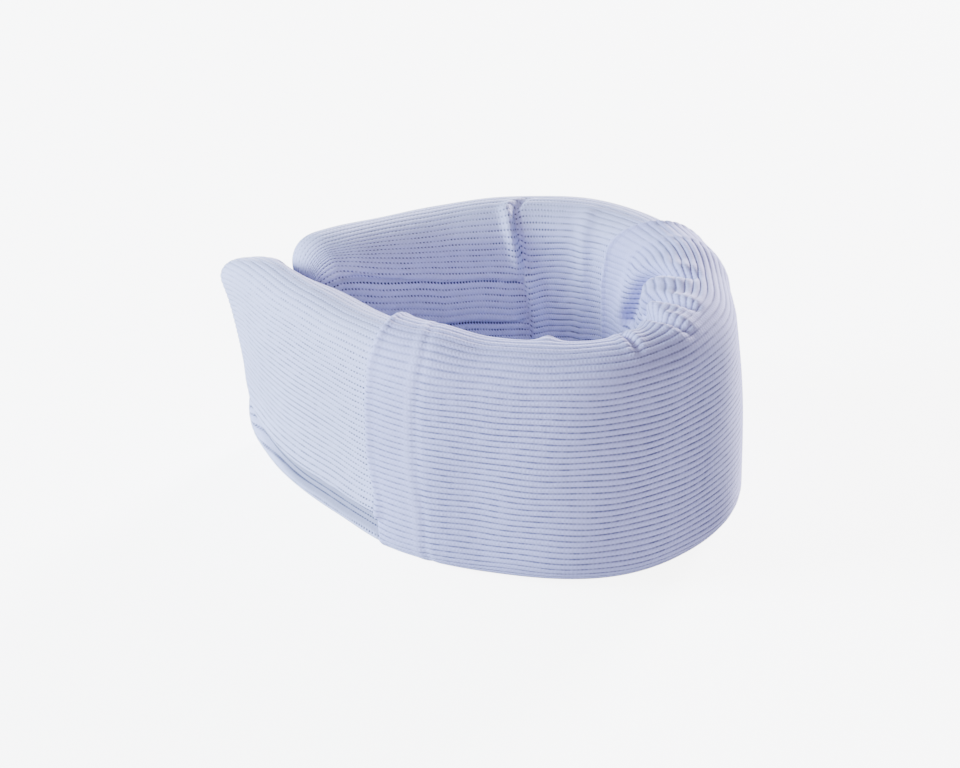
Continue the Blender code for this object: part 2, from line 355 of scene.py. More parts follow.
def square_end(place, crown):
    """The flap's end, where the cover is drawn square over the cut foam."""
    corners = 0.8 * bell(crown, -17.0, 7.0) + 0.8 * bell(crown, 16.0, 7.0)
    return (corners - 4.4 * bell(crown, 0.0, 10.0)) * (1.0 - smooth(18.0, 42.0, place))


def waviness(place, crown):
    """Foam is never quite even."""
    waves = 0.22 * np.sin(place / 17.0 + 0.7) * np.cos(crown / 23.0 + 0.4)
    waves = waves + 0.15 * np.sin(place / 8.3 + crown / 14.0)
    return waves + 0.10 * np.sin(place / 4.9 - crown / 9.0 + 1.1)


def above_foot(crown):
    """1 on the faces and the crown, and 0 on the foot, which the floor keeps level."""
    return 1.0 - smooth(88.0, 103.0, np.abs(crown))


def relief(place, across, z, crown):
    """Everything that the padding does apart from following the strip."""
    outer = smooth(0.0, 8.0, across)
    inner = smooth(0.0, 8.0, -across)
    lift = lower_crease(place, z, outer) + tucked_bands(place, z, inner)
    lift = lift + kink(place, crown) + far_ridge(place, inner)
    lift = lift + bend_bulge(place, crown) + square_end(place, crown)
    pucker = 1.8 * bell(place, 160.0, 4.0) * bell(crown, 8.0, 4.0)
    pressed = 4.0 * bell(place, 36.0, 20.0) * inner     # where the tucked end lies against the flap
    return (lift + pucker - pressed + waviness(place, crown)) * above_foot(crown)


def settled_relief(place, across, z, crown):
    """The foam follows the cover's folds loosely and stays under all of them."""
    lowest = relief(place, across, z, crown)
    for beside in (-2.5, 0.0, 2.5):
        for inward in (-3.5, 0.0, 3.5):
            nearby = relief(place + beside, across, z - inward * np.sign(crown), crown + inward)
            lowest = np.minimum(lowest, nearby)
    return lowest


def stand(place, across, z):
    """x, y and z in mm of a point this far along the strip and this far out from its middle."""
    beyond = place - np.clip(place, ALONG[0], ALONG[-1])
    x, y, lean = (np.interp(place, ALONG, LINE[:, axis]) for axis in range(3))
    tx, ty = (np.interp(place, ALONG, TANGENT[:, axis]) for axis in range(2))
    out = across + lean * (z / HEIGHT) ** 2
    return x + ty * out + tx * beyond - CENTRE[0], y - tx * out + ty * beyond - CENTRE[1], z


def surface(along, girth, layer, lift=0.0, padding=relief):
    """Points in metres on a layer of the strip, lifted this many mm outward."""
    half, low, high = layer
    near = along - FLAP_END
    far = TUCKED_END - along
    rounded = np.clip(np.minimum(near, far) / END_ROUND, 0.0, 1.0)
    closed = np.sqrt(1.0 - (1.0 - rounded) ** 2)
    half = SEAM_HALF + (half - SEAM_HALF) * closed
    low = low + corner_drop(near, LOW_CORNER) + corner_drop(far, LOW_CORNER)
    high = high - corner_drop(near, FLAP_CORNER) - corner_drop(far, TUCKED_CORNER)
    across, z, angle, crown = section(girth, half, low, high, band_level(along) - BAND_LEVELS[0])
    start, full, hold, stop = SKEW_PLACES
    skew = smooth(start, full, along) * (1.0 - smooth(hold, stop, along))
    place = along + SKEW_SLOPE * skew * across
    place = place + TIP_SLANT * smooth(TIP_SLANT_START, TUCKED_END, along) * (z / HEIGHT) ** 2
    rise = padding(place, across, z, crown) * closed
    outside = rise + SLEEVE[0] - layer[0]
    skin = stand(place, across + outside * np.cos(angle), z + outside * np.sin(angle))
    rise = rise + fan_folds(skin) + lift
    return np.stack(stand(place, across + rise * np.cos(angle), z + rise * np.sin(angle)), axis=-1) * MM


# ---------------------------------------------------------------- meshes

def add_piece(name, points, faces, finish, uvs=None, sharp_rings=()):
    """A mesh object from points and faces.

    faces is a list of index arrays, one for each face size, and uvs holds the same for each map.
    """
    mesh = bpy.data.meshes.new(name)
    mesh.vertices.add(len(points))
    mesh.vertices.foreach_set("co", np.asarray(points, np.float32).ravel())
    corners = np.concatenate([group.ravel() for group in faces])
    sizes = np.concatenate([np.full(len(group), group.shape[1]) for group in faces])
    starts = np.concatenate([[0], np.cumsum(sizes)[:-1]])
    mesh.loops.add(len(corners))
    mesh.loops.foreach_set("vertex_index", corners.astype(np.int32))
    mesh.polygons.add(len(sizes))
    mesh.polygons.foreach_set("loop_start", starts.astype(np.int32))
    mesh.polygons.foreach_set("loop_total", sizes.astype(np.int32))
    mesh.update(calc_edges=True)
    mesh.shade_smooth()
    for uv_name, groups in (uvs or {}).items():
        layer = mesh.uv_layers.new(name=uv_name)
        corners_uv = np.concatenate([group.reshape(-1, 2) for group in groups])
        layer.data.foreach_set("uv", corners_uv.astype(np.float32).ravel())
    if len(sharp_rings):
        mark_sharp(mesh, sharp_rings, len(points))
    mesh.validate()
    mesh.materials.append(finish)
    piece = bpy.data.objects.new(name, mesh)
    bpy.context.scene.collection.objects.link(piece)
    return piece


def mark_sharp(mesh, rings, count):
    """Keep the shading crisp along these rings of points."""
    ring_of = np.full(count, -1)
    for index, ring in enumerate(rings):
        ring_of[ring] = index
    ends = np.empty(len(mesh.edges) * 2, np.int32)
    mesh.edges.foreach_get("vertices", ends)
    first, second = ring_of[ends[0::2]], ring_of[ends[1::2]]
    attribute = mesh.attributes.new("sharp_edge", "BOOLEAN", "EDGE")
    attribute.data.foreach_set("value", (first >= 0) & (first == second))


def tube_quads(rows, columns, start=0):
    """Quads between the rings of points of a tube, facing out; start is its first point's number."""
    row = np.arange(rows - 1)[:, None] * columns + start
    column = np.arange(columns)[None, :]
    after = (column + 1) % columns
    quads = np.stack([row + column, row + columns + column, row + columns + after, row + after], axis=-1)
    return quads.reshape(-1, 4)


def rib_crest(phase):
    """Height of a rib, from 0 in the groove to 1."""
    distance = np.minimum(phase, 1.0 - phase)
    return 1.0 - np.exp(-(distance / GROOVE_WIDTH) ** 2) - 0.15 * (1.0 - 2.0 * distance) ** 2


def knit_tube(name, along, ribs, layer, lift, depth, wall, finish,
              closed_start=False, closed_end=False):
    """A tube of ribbed knit with its wall.

    along holds the distance of each ring at each column, or at all of them.  lift gives the mm
    outward of each point, from its place along, rib phase, crown distance and ring number.  depth
    says how much shade is painted in the grooves and the stitches' holes, from the place along and
    the crown distance: 0 is none, 1 is full, and past 1.7 painted shade darkens the cloth round them
    as well.
    """
    phases = np.tile(RIB_PHASES, ribs)
    girth = (np.repeat(np.arange(ribs), len(RIB_PHASES)) + phases) / ribs
    crown = section(girth, *layer)[3]
    along = along(crown[None, :])
    rows = len(along)
    along = along + np.zeros((rows, len(girth)))
    number = np.arange(rows)[:, None]
    sway = 0.06 / ribs * (np.sin(along / 11.0 + 9.0 * girth) + np.sin(along / 4.3 - 30.0 * girth))
    outside = surface(along, girth + sway, layer, lift(along, phases, crown, number))
    step = len(RIB_PHASES)
    inside = surface(along[:, ::step], (girth + sway)[:, ::step], layer,
                     lift(along[:, ::step], phases[::step], crown[::step], number) - wall)
    points = np.concatenate([outside.reshape(-1, 3), inside.reshape(-1, 3)])
    columns = len(girth)
    first_inside = rows * columns

    outer = tube_quads(rows, columns)
    inner = tube_quads(rows, ribs, first_inside)[:, ::-1]
    faces = [np.concatenate([outer, inner])]
    last_outer = (rows - 1) * columns
    last_inner = first_inside + (rows - 1) * ribs
    caps = []
    for closed, outer_ring, inner_ring, flip in (
        (closed_start, 0, first_inside, False),
        (closed_end, last_outer, last_inner, True),
    ):
        if closed:
            tip = np.arange(columns)[None, :] + outer_ring
            lining = np.arange(ribs)[None, ::-1] + inner_ring
            caps += [tip, lining] if flip else [tip[:, ::-1], lining[:, ::-1]]
        else:
            rib = np.arange(ribs)[:, None]
            over = (rib * step + np.arange(step + 1)) % columns + outer_ring
            under = np.concatenate([(rib + 1) % ribs, rib], axis=1) + inner_ring
            rim = np.concatenate([over, under], axis=1)
            caps.append(rim[:, ::-1] if flip else rim)
    faces += caps

    stitch = (along / STITCH).ravel()
    row_stitch = np.concatenate([stitch, (along[:, ::step] / STITCH).ravel()])
    rib_number = np.concatenate([np.tile(girth * ribs, rows),
                                 np.tile(np.arange(ribs, dtype=float), rows)])
    # the amount of painted shade at each point, carried to the material in the depth map
    shade_outside = depth(along, crown) + 0.0 * along
    shade_amount = np.concatenate([shade_outside.ravel(), shade_outside[:, ::step].ravel()])
    uvs = {"knit": [], "depth": []}
    for group in faces:
        u = row_stitch[group]
        v = rib_number[group]
        wraps = (v.max(axis=1) - v.min(axis=1) > ribs / 2.0)[:, None]
        v = np.where(wraps & (v < ribs / 2.0) & (group.shape[1] < columns // 2), v + ribs, v)
        uvs["knit"].append(np.stack([u, v], axis=-1))
        uvs["depth"].append(np.stack([shade_amount[group], 0.0 * u], axis=-1))
    rings = (np.arange(columns), np.arange(columns) + last_outer,
             np.arange(ribs) + first_inside, np.arange(ribs) + last_inner)
    return add_piece(name, points, faces, finish, uvs, rings)


def rings_between(start, end, step):
    """Evenly spaced places from start to end, about this far apart."""
    return np.linspace(start, end, max(2, round((end - start) / step) + 1))


def cover_rings(start, end):
    """Places of the cover's rings: fine where it shows, wide apart under the sleeve."""
    fine = STITCH / 2.0
    hidden_start = NEAR_HINGE + HEM_WIDTH
    hidden_end = SLEEVE_END - HEM_WIDTH
    parts = []
    for low, high, step in (
        (FLAP_END, hidden_start, fine),
        (hidden_start, hidden_end, HIDDEN_STEP),
        (hidden_end, TUCKED_END, fine),
    ):
        low, high = max(low, start), min(high, end)
        if high - low > fine:
            parts.append(rings_between(low, high, step))
    return np.unique(np.round(np.concatenate(parts), 4))


def cover_lift(along, phases, crown, number):
    """Ribs of the base cover, with the small hollow of each stitch, pressed in under the sleeve."""
    under = smooth(NEAR_HINGE + 2.0, NEAR_HINGE + 9.0, along)
    under = under * (1.0 - smooth(SLEEVE_END - 11.0, SLEEVE_END - 4.0, along))
    height = OUTER_RIB + (INNER_RIB - OUTER_RIB) * smooth(6.0, 26.0, crown)
    height = height - 0.10 * bell(crown, -3.0, 14.0)
    ribs = height * rib_crest(phases)
    ends = smooth(FLAP_END, FLAP_END + 2.0, along)
    ends = ends * (1.0 - smooth(TUCKED_END - 2.0, TUCKED_END, along))
    hollow = 0.9 * height * (number % 2) * (phases == 0.0)
    return (ribs - hollow) * ends - SQUEEZE * under


def uneven(edge, crown):
    """How far the sleeve's edge strays there."""
    return np.interp(crown, [step[0] for step in edge], [step[1] for step in edge])


def cover_shade(along, crown):
    """Painted shade on the cover: little in its grooves on the crown, much under each of its folds, in
    its kink and beside the sleeve's edges, where the cloth round the grooves is painted darker too.
    """
    shade_amount = 1.0 - 0.5 * bell(crown, -3.0, 13.0) + 0.7 * smooth(8.0, 40.0, -crown)
    shade_amount = shade_amount * (0.4 + 0.6 * smooth(10.0, 70.0, along))
    inner = smooth(5.0, 20.0, crown)
    shade_amount = shade_amount + 0.5 * inner * bell(along, 340.0, 20.0)
    # painted shade in the valley of the kink
    kink_shade = bell(past_kink(along, crown), -1.4, 1.3) * bell(crown, 14.0, 34.0)
    shade_amount = shade_amount + 0.8 * kink_shade * smooth(0.0, 9.0, crown)
    beside_near = along - NEAR_HINGE - uneven(NEAR_EDGE, crown)
    beside_far = along - SLEEVE_END - uneven(FAR_EDGE, crown)
    # painted shadow on the cover along each of the sleeve's edges
    shade_amount = shade_amount + 1.2 * (bell(beside_near, -0.3, 1.2) + bell(beside_far, 0.3, 1.2))
    half, low, high = COVER
    z = high - half + half * pi / 2.0 - np.abs(crown)
    # painted shadow just under each band's lip, lighter down the band
    banded = smooth(361.0, 366.0, along) * smooth(12.0, 20.0, crown)
    drop = BAND_LEVELS[0] - z     # the ribs climb along with the bands
    below = drop % BAND_STEP
    shaded = 1.3 - 1.2 * smooth(0.8, 4.0, below) - 0.7 * smooth(6.0, 16.0, below)
    shade_amount = shade_amount * (1.0 + banded * shaded * (drop > 0.0))
    # painted shade in the recess under the low crease
    under = crease_level(along) - z
    crease_shade = smooth(-0.4, 0.2, under) * (1.0 - smooth(9.0, 11.5, under)) * smooth(0.0, 4.0, -crown)
    return shade_amount + 1.3 * crease_shade * (1.0 - smooth(101.0, 108.0, along))


def knit_cover(name, start, end, finish, flap_end=False, tucked_end=False):
    """One length of the tubular base cover."""
    places = cover_rings(start, end)
    tips = np.array(TIP_RINGS)
    clear = 1.5 * tips[-1]
    if flap_end:
        places = np.concatenate([FLAP_END + tips, places[places > FLAP_END + clear]])
    if tucked_end:
        places = np.concatenate([places[places < TUCKED_END - clear], TUCKED_END - tips[::-1]])
    return knit_tube(name, lambda crown: places[:, None], COVER_RIBS, COVER, cover_lift, cover_shade,
                     KNIT_WALL, finish, flap_end, tucked_end)


def sleeve_places(places):
    """A function that gives each ring's distance along, bent to the sleeve's edges."""
    rows = np.asarray(places)[:, None]

    def bent(crown):
        near = 1.0 - smooth(NEAR_HINGE, NEAR_HINGE + 30.0, rows)
        far = smooth(SLEEVE_END - 30.0, SLEEVE_END, rows)
        return rows + uneven(NEAR_EDGE, crown) * near + uneven(FAR_EDGE, crown) * far
    return bent


def sleeve_rings():
    """Places of the sleeve's rings, closest together at its rounded edges."""
    edge = np.array((0.0, 0.08, 0.25, 0.6, 1.2))
    middle = rings_between(NEAR_HINGE + 2.0, SLEEVE_END - 2.0, 1.0)
    return np.concatenate([NEAR_HINGE + edge, middle, SLEEVE_END - edge[::-1]])


def from_edge(along, crown):
    """Distance in mm from the nearer of the sleeve's two edges."""
    from_near = along - NEAR_HINGE - uneven(NEAR_EDGE, crown)
    from_far = SLEEVE_END + uneven(FAR_EDGE, crown) - along
    return np.minimum(np.abs(from_near), np.abs(from_far))


def sleeve_lift(along, phases, crown, number):
    """Ribs of the sleeve, flatter on its doubled hems, with the ridge of the hem stitching."""
    edge = from_edge(along, crown)
    hem = 1.0 - smooth(HEM_WIDTH - 2.0, HEM_WIDTH, edge)
    rounding = np.clip(1.0 - edge / EDGE_ROUND, 0.0, 1.0)
    seam = bell(edge, HEM_WIDTH, 1.4)
    lift = SLEEVE_RIB * rib_crest(phases) * (1.0 - 0.4 * hem) * (1.0 - 0.9 * seam)
    lift = lift + 1.9 * (1.0 - smooth(HEM_WIDTH + 1.0, HEM_WIDTH + 24.0, edge)) * above_foot(crown)
    lift = lift + 0.4 * seam - 0.3 * bell(edge, HEM_WIDTH + 2.8, 1.2)
    lift = lift + 0.6 * bell(edge, 1.5, 1.1) * above_foot(crown)
    return lift - EDGE_ROUND * (1.0 - np.sqrt(1.0 - rounding ** 2))


def sleeve_groove_shade(along, crown):
    """Painted shade in the sleeve's grooves and holes: faint on its hems and crown, strongest low on its
    faces.
    """
    edge = from_edge(along, crown)
    hem = 1.0 - smooth(HEM_WIDTH - 1.0, HEM_WIDTH + 2.0, edge)
    faint = np.where(along < BACK_JOIN, 0.25, 0.75) * hem + 0.5 * bell(edge, HEM_WIDTH, 1.6)
    return (0.6 + 0.45 * smooth(2.0, 35.0, np.abs(crown + 2.0))) * (1.0 - np.minimum(faint, 0.9))


def knit_sleeve(name, finish):
    """The outer sleeve, all in one piece."""
    return knit_tube(name, sleeve_places(sleeve_rings()), SLEEVE_RIBS, SLEEVE, sleeve_lift, sleeve_groove_shade,
                     KNIT_WALL, finish)


def hem_fold(name, start, end, finish):
    """The part of the sleeve that is folded back inside it."""
    places = rings_between(start, end, 2.5)

    def flat_ribs(along, phases, crown, number):
        return 0.15 * rib_crest(phases)
    return knit_tube(name, sleeve_places(places), SLEEVE_RIBS, HEM_FOLD, flat_ribs, sleeve_groove_shade,
                     HEM_FOLD_WALL, finish)


def foam_core(name, start, end, finish):
    """One length of the foam strip, with cut ends."""
    tip = np.arange(FOAM_COLUMNS)
    girth = tip / FOAM_COLUMNS
    places = rings_between(start, end, 2.0)[:, None]
    slack = -0.5 * bell(places, 250.0, 50.0)
    points = surface(places, girth[None, :], FOAM, slack, settled_relief).reshape(-1, 3)
    last = (len(places) - 1) * FOAM_COLUMNS
    faces = [tube_quads(len(places), FOAM_COLUMNS), np.stack([tip[::-1], tip + last])]
    return add_piece(name, points, faces, finish, sharp_rings=(tip, tip + last))


def thread(name, paths, radius, finish, sides=5):
    """Lengths of thread: a thin tube along each path of points, in metres."""
    turn = tau * np.arange(sides) / sides
    tip = np.arange(sides)
    points, quads, caps, count = [], [], [], 0
    for path in paths:
        run = np.gradient(path, axis=0)
        run /= np.linalg.norm(run, axis=1)[:, None]
        reference = np.where(np.abs(run[:, 2:3]) > 0.9, [[1.0, 0.0, 0.0]], [[0.0, 0.0, 1.0]])
        first = np.cross(run, reference)
        first /= np.linalg.norm(first, axis=1)[:, None]
        second = np.cross(run, first)
        ring = (first[:, None, :] * np.cos(turn)[None, :, None]
                + second[:, None, :] * np.sin(turn)[None, :, None])
        taper = np.ones(len(path))
        taper[[0, -1]] = 0.55
        points.append((path[:, None, :] + ring * (radius * MM * taper)[:, None, None]).reshape(-1, 3))
        quads.append(tube_quads(len(path), sides, count))
        caps += [tip[::-1] + count, tip + count + (len(path) - 1) * sides]
        count += len(path) * sides
    faces = [np.concatenate(quads), np.stack(caps)]
    if sides == 4:
        faces = [np.concatenate(faces)]
    return add_piece(name, np.concatenate(points), faces, finish)


# ---------------------------------------------------------------- tapes and stitching

TAPE_LEVELS = (30.0, 67.0)
HOOK_TAPE = (18.0, 43.0)
LOOP_TAPE = (385.0, 425.0)
TAPE_FOOT = 0.55          # mm above the bottom of the cover's grooves
TAPE_TOP = 1.25
HOOK_SPACING = 1.5
STITCH_INSET = 2.5
TAPE_STITCH = 2.6
END_SEAM_LEVELS = (12.0, 72.0)
END_STITCHES = 44
OUTER, INNER = 1, -1


def face_girth(z, side):
    """The share of the way round the cover at this height on its outer or inner face."""
    half, low, high = COVER
    quarter = pi / 2.0 * half
    total = 2.0 * (high - low - 2.0 * half) + 4.0 * quarter
    share = (quarter + z - low - half) / total
    return share if side == OUTER else 1.0 - share


def tape(name, span, side, finish, pile=0.0):
    """A rectangle of tape sewn to the cover; pile is the height of its brushed loops."""
    rows = rings_between(*span, 0.8)[:, None]
    levels = rings_between(*TAPE_LEVELS, 0.8)
    girth = np.sort(face_girth(levels, side))
    draw = np.random.default_rng(11)
    rise = TAPE_TOP + pile * draw.random((len(rows), len(girth)))
    rise[:, [0, -1]] = TAPE_TOP - 0.2
    rise[[0, -1], :] = TAPE_TOP - 0.2
    top = surface(rows, girth[None, :], COVER, rise)
    foot = surface(rows, girth[None, ::-1], COVER, TAPE_FOOT)
    ring = np.concatenate([top, foot], axis=1)
    count = ring.shape[1]
    tip = np.arange(count)
    last = (len(rows) - 1) * count
    faces = [tube_quads(len(rows), count), np.stack([tip[::-1], tip + last])]
    return add_piece(name, ring.reshape(-1, 3), faces, finish)


def hook_paths(span, side):
    """The little curled hooks that stand on the hook tape."""
    turn = np.linspace(0.0, 1.35 * pi, 5)
    forward = np.concatenate([[0.0], 0.28 * (1.0 - np.cos(turn))])
    heights = np.concatenate([[TAPE_TOP - 0.1], TAPE_TOP + 0.30 + 0.30 * np.sin(turn)])
    low, high = TAPE_LEVELS[0] + 1.2, TAPE_LEVELS[1] - 1.0
    paths = []
    for row, place in enumerate(np.arange(span[0] + 1.2, span[1] - 1.0, HOOK_SPACING)):
        for level in np.arange(low + 0.5 * HOOK_SPACING * (row % 2), high, HOOK_SPACING):
            girth = np.full(len(forward), face_girth(level, side))
            paths.append(surface(place + forward, girth, COVER, heights))
    return paths


def outline_stitches(span, side):
    """Lockstitches just inside a tape's edge."""
    low, high = TAPE_LEVELS[0] + STITCH_INSET, TAPE_LEVELS[1] - STITCH_INSET
    start, end = span[0] + STITCH_INSET, span[1] - STITCH_INSET
    corners = ((start, low), (end, low), (end, high), (start, high), (start, low))
    paths = []
    for (from_place, from_z), (to_place, to_z) in zip(corners, corners[1:]):
        length = max(abs(to_place - from_place), abs(to_z - from_z))
        count = max(2, round(length / TAPE_STITCH))
        for index in range(count):
            share = (index + np.linspace(0.08, 0.92, 5)) / count
            place = from_place + (to_place - from_place) * share
            z = from_z + (to_z - from_z) * share
            rise = TAPE_TOP + np.array((-0.1, 0.12, 0.18, 0.12, -0.1))
            paths.append(surface(place, face_girth(z, side), COVER, rise))
    return paths


def hem_stitches(edge_place, inward, edge):
    """The seam that holds a hem: one slanting stitch over each rib."""
    paths = []
    total = section(1.0, *SLEEVE)[3] * 2.0
    for rib in range(SLEEVE_RIBS):
        girth = (rib + np.linspace(-0.30, 0.30, 5)) / SLEEVE_RIBS % 1.0
        crown = (girth - 0.5) * total
        slant = np.linspace(-0.55, 0.55, 5) * (1 if rib % 2 else -1)
        place = edge_place + inward * HEM_WIDTH + uneven(edge, crown) + slant
        paths.append(surface(place, girth, SLEEVE, np.array((-0.45, -0.20, -0.12, -0.20, -0.45))))
    return paths


def end_stitches(end, inward):
    """Overlock thread: slanting stitches wrapped over the sewn end of the cover."""
    paths = []
    low, high = (face_girth(level, OUTER) for level in END_SEAM_LEVELS)
    reach = np.array((1.3, 0.6, 0.2, 0.0))
    place = end + inward * np.concatenate([reach, reach[::-1]])
    for girth in np.linspace(low, high, END_STITCHES):
        outer = np.full(4, girth)
        around = np.concatenate([outer, 1.0 - outer - 0.004])
        paths.append(surface(place, around, COVER, 0.30))
    return paths


# ---------------------------------------------------------------- materials

class Nodes:
    """A small helper to build one node material."""

    def __init__(self, name):
        self.material = bpy.data.materials.new(name)
        self.material.use_nodes = True
        self.tree = self.material.node_tree
        self.shader = self.tree.nodes["Principled BSDF"]

    def add(self, kind, inputs=None, **settings):
        """A node, with its settings and inputs; an input may be a value or another node's output."""
        made = self.tree.nodes.new("ShaderNode" + kind)
        for key, value in settings.items():
            setattr(made, key, value)
        for key, value in (inputs or {}).items():
            self.link(value, made.inputs[key])
        return made

    def link(self, value, socket):
        """Join an output to a socket, or set the socket to a value."""
        if isinstance(value, bpy.types.NodeSocket):
            self.tree.links.new(value, socket)
        else:
            socket.default_value = value

    def math(self, operation, first, second=0.0):
        """One step of arithmetic."""
        return self.add("Math", {0: first, 1: second}, operation=operation).outputs[0]

    def ramp(self, value, low, high, out_low=0.0, out_high=1.0):
        """A smooth step of value from low to high."""
        limits = {"From Min": low, "From Max": high, "To Min": out_low, "To Max": out_high}
        made = self.add("MapRange", {"Value": value, **limits}, interpolation_type="SMOOTHSTEP")
        return made.outputs["Result"]

    def noise(self, scale, detail=2.0, roughness=0.5):
        """Noise in the object's own space; scale is in features for each metre."""
        where = self.add("TexCoord").outputs["Object"]
        made = self.add("TexNoise", {"Vector": where, "Scale": scale, "Detail": detail,
                                     "Roughness": roughness})
        return made.outputs["Fac"]

    def mix(self, share, first, second, blend="MIX"):
        """Two colours mixed."""
        made = self.add("Mix", data_type="RGBA", blend_type=blend)
        for index, value in ((0, share), (6, first), (7, second)):
            self.link(value, made.inputs[index])
        return made.outputs[2]

    def grey(self, value):
        """A value as a grey colour."""
        return self.add("CombineColor", {0: value, 1: value, 2: value}).outputs[0]

    def bump(self, height, strength, distance):
        """Fine relief on the shader's normal."""
        made = self.add("Bump", {"Height": height, "Strength": strength, "Distance": distance})
        self.link(made.outputs["Normal"], self.shader.inputs["Normal"])

    def finish(self, colour, roughness, **constants):
        """Join the colour and roughness to the shader, and set its constant sockets."""
        self.link(colour, self.shader.inputs["Base Color"])
        self.link(roughness, self.shader.inputs["Roughness"])
        for key, value in constants.items():
            self.shader.inputs[key.replace("_", " ")].default_value = value
        return self.material


def colour(red, green, blue):
    """A colour with full alpha, from linear values."""
    return (red, green, blue, 1.0)


def knit_material(name, rib, valley_shade, hole_shade, valley_shade_share, hole_shade_share):
    """Ribbed knit: chevron stitches on the ribs, painted shade in the valleys and in a hole at each
    stitch, and painted shade over the cloth where depth passes 1.7.
    """
    nodes = Nodes(name)
    place = nodes.add("SeparateXYZ", {0: nodes.add("UVMap", uv_map="knit").outputs[0]})
    along, across = place.outputs[0], place.outputs[1]
    # the depth map holds how much shade is painted at each point
    depth = nodes.add("SeparateXYZ", {0: nodes.add("UVMap", uv_map="depth").outputs[0]}).outputs[0]
    fuzz = nodes.noise(1500.0, 3.0, 0.6)
    mottle = nodes.noise(260.0, 2.0)
    cloud = nodes.noise(22.0, 2.0)
    from_valley = nodes.math("PINGPONG", across, 0.5)
    # painted shade in the valleys between ribs and in each stitch's hole
    valley_shade_mask = nodes.math("MULTIPLY", nodes.ramp(from_valley, 0.03, 0.24, 1.0, 0.0), depth)
    from_stitch = nodes.math("PINGPONG", along, 0.5)
    hole_mask = nodes.ramp(from_stitch, 0.12, 0.36, 1.0, 0.0)
    hole_core = nodes.ramp(from_valley, 0.07, 0.20, 1.0, 0.0)
    hole_shade_mask = nodes.math("MULTIPLY", nodes.math("MULTIPLY", hole_mask, hole_core), depth)
    slanted = nodes.math("MULTIPLY_ADD", from_valley, 1.1)
    nodes.link(along, slanted.node.inputs[2])
    loops = nodes.math("PINGPONG", slanted, 0.5)

    uneven_valley_shade = nodes.math("MULTIPLY", valley_shade_mask, nodes.ramp(mottle, 0.3, 0.7, 0.55, 1.0))
    uneven_hole_shade = nodes.math("MULTIPLY", hole_shade_mask, nodes.ramp(mottle, 0.35, 0.65, 0.35, 1.0))
    tone = nodes.mix(nodes.math("MULTIPLY", uneven_valley_shade, valley_shade_share), colour(*rib), colour(*valley_shade))
    tone = nodes.mix(nodes.math("MULTIPLY", uneven_hole_shade, hole_shade_share), tone, colour(*hole_shade))
    shade = nodes.ramp(cloud, 0.3, 0.7, 0.955, 1.03)
    # painted shade over the whole cloth where depth passes 1.7
    shade = nodes.math("MULTIPLY", shade, nodes.ramp(depth, 1.7, 2.8, 1.0, 0.55))
    shade = nodes.math("MULTIPLY", shade, nodes.ramp(fuzz, 0.25, 0.75, 0.93, 1.05))
    shade = nodes.math("MULTIPLY", shade, nodes.ramp(loops, 0.0, 0.5, 0.95, 1.03))
    tone = nodes.mix(1.0, tone, nodes.grey(shade), "MULTIPLY")

    yarn = nodes.math("MULTIPLY", loops, nodes.ramp(from_valley, 0.05, 0.3))
    relief_height = nodes.math("MULTIPLY_ADD", fuzz, 0.5)
    nodes.link(yarn, relief_height.node.inputs[2])
    nodes.bump(relief_height, 0.55, 0.00035)
    return nodes.finish(tone, nodes.ramp(mottle, 0.3, 0.7, 0.86, 0.97),
                        Sheen_Weight=0.35, Sheen_Roughness=0.45, Specular_IOR_Level=0.2,
                        Sheen_Tint=colour(0.86, 0.90, 1.0))


def thread_material(name, tone):
    """Twisted sewing thread."""
    nodes = Nodes(name)
    twist = nodes.noise(2600.0, 2.0, 0.7)
    shade = nodes.ramp(twist, 0.3, 0.7, 0.86, 1.04)
    nodes.bump(twist, 0.5, 0.0001)
    return nodes.finish(nodes.mix(1.0, colour(*tone), nodes.grey(shade), "MULTIPLY"),
                        nodes.ramp(twist, 0.3, 0.7, 0.6, 0.8),
                        Sheen_Weight=0.15, Specular_IOR_Level=0.3)


def tape_material(name, tone, grain, roughness, sheen):
    """Woven backing of hook tape, or the brushed face of loop tape."""
    nodes = Nodes(name)
    weave = nodes.noise(grain, 4.0, 0.7)
    patch = nodes.noise(120.0, 2.0)
    shade = nodes.math("MULTIPLY", nodes.ramp(weave, 0.25, 0.75, 0.78, 1.06),
                       nodes.ramp(patch, 0.3, 0.7, 0.95, 1.03))
    nodes.bump(weave, 0.7, 0.0002)
    return nodes.finish(nodes.mix(1.0, colour(*tone), nodes.grey(shade), "MULTIPLY"),
                        nodes.ramp(weave, 0.2, 0.8, roughness - 0.1, roughness + 0.05),
                        Sheen_Weight=sheen)


def foam_material(name):
    """Open-cell polyurethane foam."""
    nodes = Nodes(name)
    where = nodes.add("TexCoord").outputs["Object"]
    cells = nodes.add("TexVoronoi", {"Vector": where, "Scale": 900.0}, feature="F1").outputs["Distance"]
    shade = nodes.math("MULTIPLY", nodes.ramp(cells, 0.05, 0.6, 0.72, 1.04),
                       nodes.ramp(nodes.noise(40.0), 0.3, 0.7, 0.95, 1.02))
    nodes.bump(cells, 0.8, 0.0004)
    return nodes.finish(nodes.mix(1.0, colour(0.80, 0.78, 0.68), nodes.grey(shade), "MULTIPLY"),
                        nodes.ramp(cells, 0.1, 0.6, 0.9, 1.0), Specular_IOR_Level=0.1)


# ---------------------------------------------------------------- the collar

def centre_line(place):
    """The middle of the strip at half its height, in metres."""
    x, y = (np.interp(place, ALONG, LINE[:, axis]) - CENTRE[axis] for axis in range(2))
    return (x * MM, y * MM, 0.5 * HEIGHT * MM)


